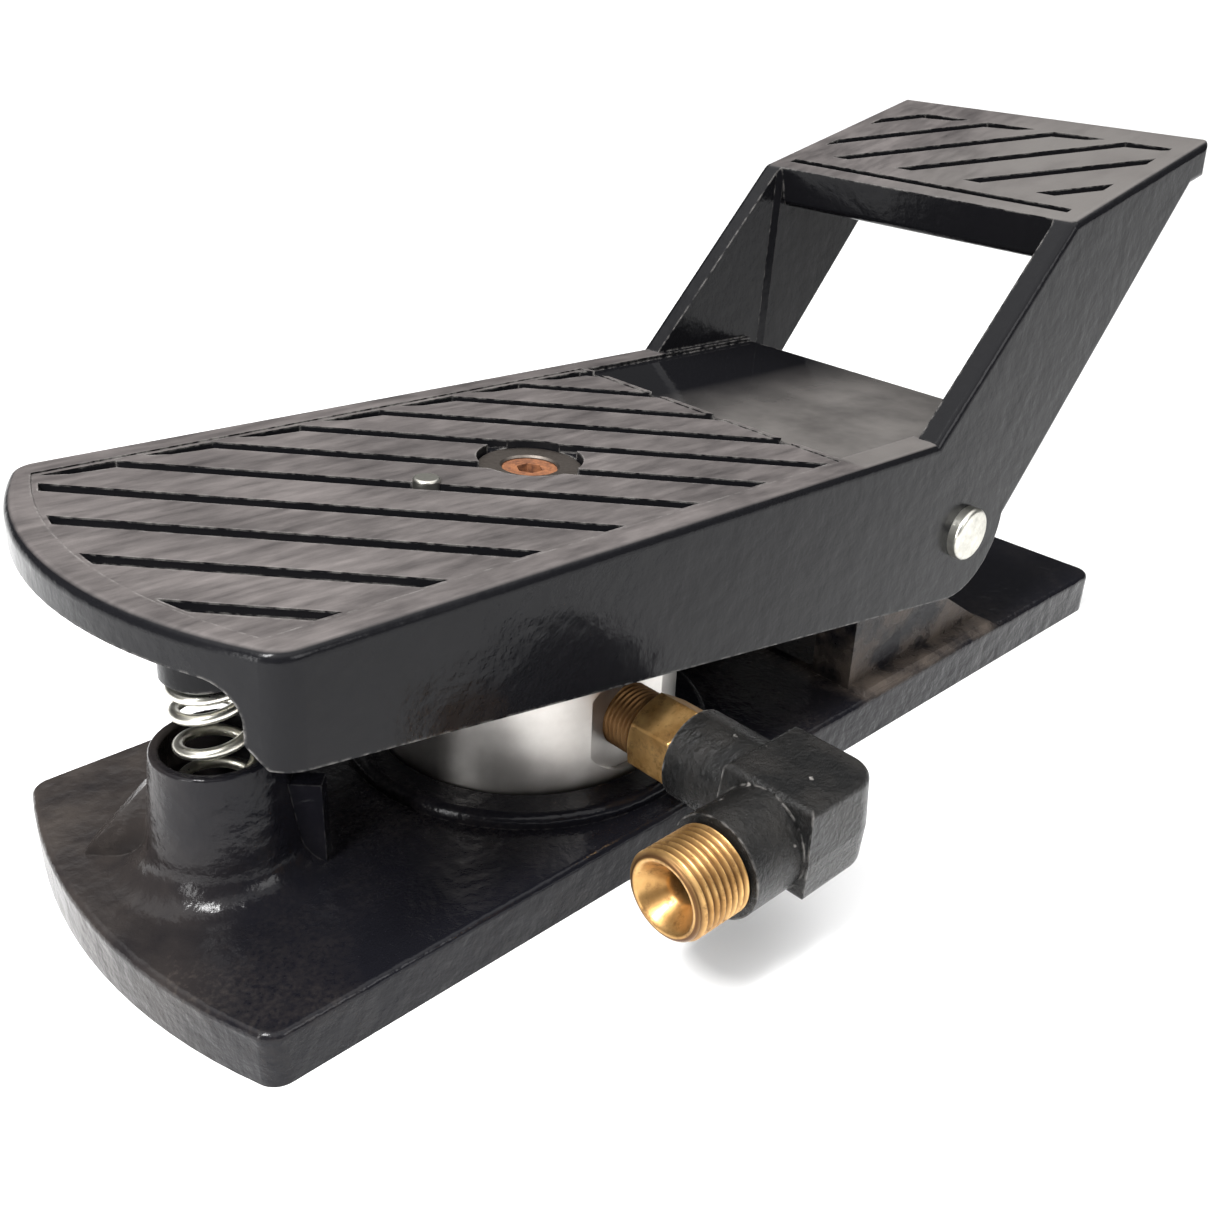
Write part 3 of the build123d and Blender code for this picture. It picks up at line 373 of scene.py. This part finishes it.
def make_valve_metal():
    """Turned aluminium: fine rings round the body, light stains, and painted shade that darkens its foot
    next to the base.
    """
    made, tree, shader, where = start("machined_aluminium", 1.0)
    rings = node(tree, "Mapping", {"Vector": where, "Scale": (0.03, 0.03, 1.0)}).outputs[0]
    fine = noise(tree, rings, 2600, 3, 0.6)
    stains = noise(tree, where, 45, 5, 0.6)
    base = mix(tree, spread(tree, stains, 0.35, 0.65), ALUMINIUM_DARK, ALUMINIUM_LIGHT)
    # Painted shade: the body is darker towards its foot, where the base below shades it.
    foot = spread(tree, along(tree, where, Z), 0.015, 0.022, 1.0, 0.0)
    base = mix(tree, times(tree, foot, 0.5), base, ALUMINIUM_FOOT_SHADE)
    roughness = spread(tree, stains, 0.3, 0.7, 0.34, 0.44)
    finish_with(tree, shader, base, roughness, fine, 0.00002, 0.5)
    return made


def make_rust():
    """Rusty screw: blotches of orange brown, rough all over."""
    made, tree, shader, where = start("rusty_steel", 0.15)
    blotches = noise(tree, where, 420, 5, 0.7)
    grain = noise(tree, where, 1800, 4, 0.7)
    base = mix(tree, spread(tree, blotches, 0.36, 0.62), RUST_DARK, RUST_LIGHT)
    roughness = spread(tree, grain, 0.3, 0.7, 0.60, 0.85)
    finish_with(tree, shader, base, roughness, grain, 0.00012, 0.9)
    return made


def make_rubber():
    """Matt black seal."""
    made, tree, shader, where = start("seal_rubber")
    grain = noise(tree, where, 1600, 4, 0.6)
    patches = noise(tree, where, 160, 3, 0.5)
    base = mix(tree, spread(tree, patches, 0.3, 0.7), RUBBER_DARK, RUBBER_LIGHT)
    roughness = spread(tree, grain, 0.3, 0.7, 0.52, 0.72)
    finish_with(tree, shader, base, roughness, grain, 0.00005, 0.7)
    return made


MATERIALS = {
    "black_enamel": make_base_enamel(),
    "worn_black_enamel": make_treadle_enamel(),
    "black_fitting": make_fitting_black(),
    "brass": make_brass(),
    "machined_aluminium": make_valve_metal(),
    "rusty_steel": make_rust(),
    "seal_rubber": make_rubber(),
}
# Dark and light colour, least and most roughness, grain, and how the grain is drawn out.
METALS = {
    "bronze": (colour(0.22, 0.12, 0.05), colour(0.42, 0.25, 0.11), 0.28, 0.45, 1200, (1, 0.05, 1)),
    "zinc_spring": (colour(0.60, 0.58, 0.50), colour(0.80, 0.78, 0.70), 0.26, 0.42, 900),
    "zinc_steel": (colour(0.40, 0.39, 0.35), colour(0.66, 0.65, 0.59), 0.26, 0.42, 700),
    "plain_steel": (colour(0.085, 0.072, 0.062), colour(0.21, 0.185, 0.165), 0.34, 0.55, 900),
    "spring_steel": (colour(0.10, 0.095, 0.09), colour(0.22, 0.21, 0.20), 0.30, 0.45, 900),
}
for metal, look in METALS.items():
    MATERIALS[metal] = make_metal(metal, *look)
SLOTS = {
    "base_casting": "black_enamel",
    "treadle_casting": "worn_black_enamel",
    "pivot_bushing_near": "bronze",
    "pivot_bushing_far": "bronze",
    "valve_body": "machined_aluminium",
    "valve_bonnet": "brass",
    "bonnet_gasket": "seal_rubber",
    "plunger_seal": "seal_rubber",
    "bottom_plug": "brass",
    "bottom_plug_seal": "seal_rubber",
    "valve_screws": "zinc_steel",
    "elbow": "black_fitting",
    "pivot_pin": "zinc_steel",
    "pin_washer": "zinc_steel",
    "pin_retaining_ring": "spring_steel",
    "adjuster_bushing": "plain_steel",
    "adjuster_screw": "rusty_steel",
    "adjuster_lock_nut": "plain_steel",
    "stop_pin": "zinc_steel",
    "plunger": "plain_steel",
    "plunger_retaining_ring": "spring_steel",
    "poppet": "brass",
    "poppet_seal": "seal_rubber",
}


def paint_nodes():
    """Gives each CAD node that stays in view its material."""
    for name, slot in SLOTS.items():
        for each in nodes[name].material_slots:
            each.material = MATERIALS[slot]


# ---- pieces modelled here ---------------------------------------------------------------
def add_piece(name, points, faces, slot, body, replaced):
    """A smooth-shaded mesh that rides on a body and stands in for a CAD node."""
    mesh = bpy.data.meshes.new(name)
    mesh.from_pydata([tuple(p) for p in points], [], faces)
    mesh.materials.append(MATERIALS[slot])
    mesh.validate()
    mesh.shade_smooth()
    piece = bpy.data.objects.new(name, mesh)
    bpy.context.scene.collection.objects.link(piece)
    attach(piece, body)
    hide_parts(*replaced)
    return piece


def grid_faces(rows, around, closed_rows=False):
    """Quads of a grid whose columns close round, and its rows too if closed_rows."""
    faces = []
    for row in range(rows if closed_rows else rows - 1):
        here = row * around
        after = (row + 1) % rows * around
        for column in range(around):
            beside = (column + 1) % around
            faces.append((here + column, here + beside, after + beside, after + column))
    return faces


PLAIN, THREAD = "", "thread"


def thread_depth(place, turn, pitch, depth):
    """How far a 60-degree thread's surface lies below its crest."""
    phase = (place / pitch + turn) % 1.0
    ridge = 1 - abs(2 * phase - 1)
    return depth * min(max(1.25 * ridge - 0.12, 0.0), 1.0)


def turned_piece(name, profile, axis_point, axis, side, up, around, thread, slot, body, node_name):
    """Closed lathe grid of rows (station, radius, kind).

    A kind is THREAD for a row that follows the helix, PLAIN for a circle, or a function of angle and radius.
    """
    points = []
    for station, radius, kind in profile:
        for column in range(around):
            turn = column / around
            angle = 2 * math.pi * turn
            reach = radius
            if kind == THREAD:
                reach = radius - thread_depth(station, turn, *thread)
            elif callable(kind):
                reach = kind(angle, radius)
            out = side * math.cos(angle) + up * math.sin(angle)
            points.append(axis_point + axis * station + out * reach)
    faces = grid_faces(len(profile), around, closed_rows=True)
    return add_piece(name, points, faces, slot, body, (node_name,))


def steps(first, last, count):
    """Evenly spaced values from first to last, both included."""
    return [first + (last - first) * i / (count - 1) for i in range(count)]


def hose_connector():
    """Half-inch pipe thread, 14 to the inch, with a cone seat in its mouth."""
    length = CONNECTOR_LENGTH
    profile = [(CONNECTOR_BACK, 0.0052, PLAIN), (CONNECTOR_BACK, 0.0085, PLAIN),
               (-0.0004, 0.0085, PLAIN), (-0.0002, 0.0090, PLAIN), (0.0001, 0.0094, PLAIN)]
    for station in steps(0.0004, length - 0.0009, 110):
        profile.append((station, CONNECTOR_CREST, THREAD))
    profile += [(length - 0.0006, 0.0098, PLAIN), (length - 0.0002, 0.0095, PLAIN), (length, 0.0092, PLAIN),
                (length, 0.0085, PLAIN), (length - 0.0001, CONE_MOUTH, PLAIN)]
    for part in steps(0.03, 1.0, 10):
        profile.append((length - CONE_DEPTH * part, CONE_MOUTH - CONE_NARROWING * part, PLAIN))
    profile += [(length - 0.0075, CONNECTOR_BORE, PLAIN), (0.0, CONNECTOR_BORE, PLAIN),
                (CONNECTOR_BACK + 0.0001, CONNECTOR_BORE, PLAIN)]
    turned_piece("hose_connector_thread", profile, Vector(CONNECTOR_PLACE), -Vector(X), -Vector(NEAR),
                 Vector(Z), AROUND_FITTING, CONNECTOR_THREAD, "brass", "base", "hose_connector")


def hexagon_reach(angle, limit):
    """Reach of a hexagon across half its flats, cut back to a limiting cone."""
    turn = (angle - HEXAGON_TURN) % (math.pi / 3) - math.pi / 6
    return min(HALF_FLATS / math.cos(turn), limit)


def brass_nipple():
    """Hexagon nipple: a bare pipe thread into the valve and a plain end into the elbow."""
    along_chamfer, out_chamfer = HEXAGON_CHAMFER
    profile = [(-0.0108, NIPPLE_BORE, PLAIN), (-0.0108, 0.0078, PLAIN)]
    for station in steps(-0.0100, 0.0088, 130):
        profile.append((station, NIPPLE_CREST, THREAD))
    profile += [(0.0092, 0.0076, PLAIN), (0.0095, 0.0078, PLAIN), (0.0095, 0.0088, PLAIN)]
    profile += [(HEXAGON_FRONT, HEXAGON_NECK, hexagon_reach)]
    for part in steps(0.2, 1.0, 5):
        reach = HEXAGON_NECK + out_chamfer * part
        profile.append((HEXAGON_FRONT + along_chamfer * part, reach, hexagon_reach))
    for station in steps(0.0115, 0.0222, 4):
        profile.append((station, 0.0112, hexagon_reach))
    for part in steps(1.0, 0.2, 5):
        reach = HEXAGON_NECK + out_chamfer * part
        profile.append((HEXAGON_BACK - along_chamfer * part, reach, hexagon_reach))
    profile += [(HEXAGON_BACK, HEXAGON_NECK, PLAIN), (0.0234, 0.0082, PLAIN)]
    profile += [(0.0336, 0.0080, PLAIN), (0.0336, NIPPLE_BORE, PLAIN)]
    turned_piece("brass_nipple_thread", profile, Vector(NIPPLE_PLACE), Vector(NEAR), Vector(X), Vector(Z),
                 AROUND_FITTING, NIPPLE_THREAD, "brass", "base", "brass_nipple")


def coil_piece(name, centre, coil, low, high, start_angle, slot, node_name):
    """Compression spring with one closed turn and a ground face at each end."""
    outer, wire, turns = coil
    mean = outer - wire / 2
    per_turn, around = 48, 14
    active = turns - 2
    end_rise = wire * 1.02              # a closed turn all but touches the next
    ground = wire * 0.06
    free = (high - low) - wire - 2 * end_rise
    points = []
    last = round(turns * per_turn)
    for step in range(last + 1):
        turn = step / per_turn
        rise = min(turn, 1) * end_rise + min(max(turn - 1, 0), active) / active * free
        rise += max(turn - 1 - active, 0) * end_rise
        angle = 2 * math.pi * turn + start_angle
        out = Vector((math.cos(angle), math.sin(angle), 0))
        middle = centre + out * mean + Vector((0, 0, low + wire / 2 + rise))
        for column in range(around):
            swing = 2 * math.pi * column / around
            point = middle + (out * math.cos(swing) + Vector((0, 0, math.sin(swing)))) * (wire / 2)
            point.z = min(max(point.z, low + ground), high - ground)
            points.append(point)
    faces = grid_faces(last + 1, around)
    faces.append(tuple(range(around))[::-1])
    faces.append(tuple(last * around + column for column in range(around)))
    return add_piece(name, points, faces, slot, "base", (node_name,))


def add_springs():
    """Both springs keep their lower end, and are squashed to what is left of them at full travel."""
    low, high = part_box("return_spring")
    spring = coil_piece("return_spring_coil", Vector((SPRING_X, 0, 0)), RETURN_COIL, low.z, high.z,
                        SPRING_START, "zinc_spring", "return_spring")
    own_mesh(spring)
    low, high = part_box("poppet_spring")
    spring = coil_piece("poppet_spring_coil", Vector((VALVE_X, 0, 0)), POPPET_COIL, low.z, high.z,
                        0.0, "zinc_spring", "poppet_spring")
    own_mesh(spring)


# ---- camera ---------------------------------------------------------------------------
CAMERA_PLACE = Vector((-0.2460, -0.2317, 0.2097))
CAMERA_HEADING = math.radians(44.9)     # from +Y towards +X
CAMERA_DROP = math.radians(27.6)
CAMERA_ROLL = math.radians(2.5)
CAMERA_LENS = 38.44                     # mm
CAMERA_SENSOR = 36                      # mm wide


def add_camera():
    """Camera at its place, turned by its heading, drop and roll."""
    ahead = Vector((math.sin(CAMERA_HEADING) * math.cos(CAMERA_DROP),
                    math.cos(CAMERA_HEADING) * math.cos(CAMERA_DROP),
                    -math.sin(CAMERA_DROP)))
    level = Vector((math.cos(CAMERA_HEADING), -math.sin(CAMERA_HEADING), 0))
    upright = level.cross(ahead)
    right = level * math.cos(CAMERA_ROLL) + upright * math.sin(CAMERA_ROLL)
    up = upright * math.cos(CAMERA_ROLL) - level * math.sin(CAMERA_ROLL)
    turn = Matrix((right, up, -ahead)).transposed()
    data = bpy.data.cameras.new("camera")
    data.lens = CAMERA_LENS
    data.sensor_width = CAMERA_SENSOR
    data.clip_start = 0.01
    camera = bpy.data.objects.new("camera", data)
    camera.matrix_world = Matrix.Translation(CAMERA_PLACE) @ turn.to_4x4()
    bpy.context.scene.collection.objects.link(camera)
    bpy.context.scene.camera = camera


# ---- floor and lights -----------------------------------------------------------------
FLOOR_HALF = 60.0
FLOOR_COLOUR = colour(0.93, 0.93, 0.93)
SKY_RISE = (0.56, 0.80)                 # height of a direction, over which the sky brightens
SKY_STRENGTH = (0.07, 2.35)
BELOW_STRENGTH = 0.9                    # lights the underside when the floor is taken away


def add_light(name, place, target, size, power):
    """Rectangular area light at a place, turned towards a target."""
    data = bpy.data.lights.new(name, "AREA")
    data.shape = "RECTANGLE"
    data.size, data.size_y = size
    data.energy = power
    lamp = bpy.data.objects.new(name, data)
    lamp.location = place
    lamp.rotation_euler = (Vector(target) - Vector(place)).to_track_quat("-Z", "Y").to_euler()
    bpy.context.scene.collection.objects.link(lamp)


def add_stage():
    """Pale floor out to the horizon, a sky that is bright overhead and dark lower down, three lamps."""
    half = FLOOR_HALF
    mesh = bpy.data.meshes.new("floor")
    corners = [(-half, -half, 0), (half, -half, 0), (half, half, 0), (-half, half, 0)]
    mesh.from_pydata(corners, [], [(0, 1, 2, 3)])
    material = bpy.data.materials.new("floor")
    material.use_nodes = True
    shader = material.node_tree.nodes["Principled BSDF"]
    shader.inputs["Base Color"].default_value = FLOOR_COLOUR
    shader.inputs["Roughness"].default_value = 0.7
    mesh.materials.append(material)
    floor = bpy.data.objects.new("floor", mesh)
    bpy.context.scene.collection.objects.link(floor)
    world = bpy.data.worlds.new("studio")
    world.use_nodes = True
    tree = world.node_tree
    sky = tree.nodes["Background"]
    sky.inputs[0].default_value = (1, 1, 1, 1)
    rise = along(tree, node(tree, "TexCoord").outputs["Generated"], Z)
    lit = spread(tree, rise, *SKY_RISE, *SKY_STRENGTH)
    lit = higher(tree, lit, spread(tree, rise, -0.03, -0.01, BELOW_STRENGTH, 0.0))
    lit = spread(tree, node(tree, "LightPath").outputs["Is Camera Ray"], 0, 1, lit, 1.0)
    tree.links.new(lit, sky.inputs[1])
    bpy.context.scene.world = world
    add_light("key", (-0.55, -0.15, 0.75), (-0.05, 0, 0.05), (0.12, 0.30), 11.0)
    add_light("fill", (0.1, -0.9, 0.55), (0, 0, 0.05), (0.5, 0.3), 3.0)
    add_light("strip", (-0.80, -0.10, 0.22), (-0.05, -0.05, 0.05), (0.10, 0.40), 2.0)
    bpy.context.scene.view_settings.view_transform = "Standard"


paint_nodes()
hose_connector()
brass_nipple()
add_springs()
add_camera()
add_stage()
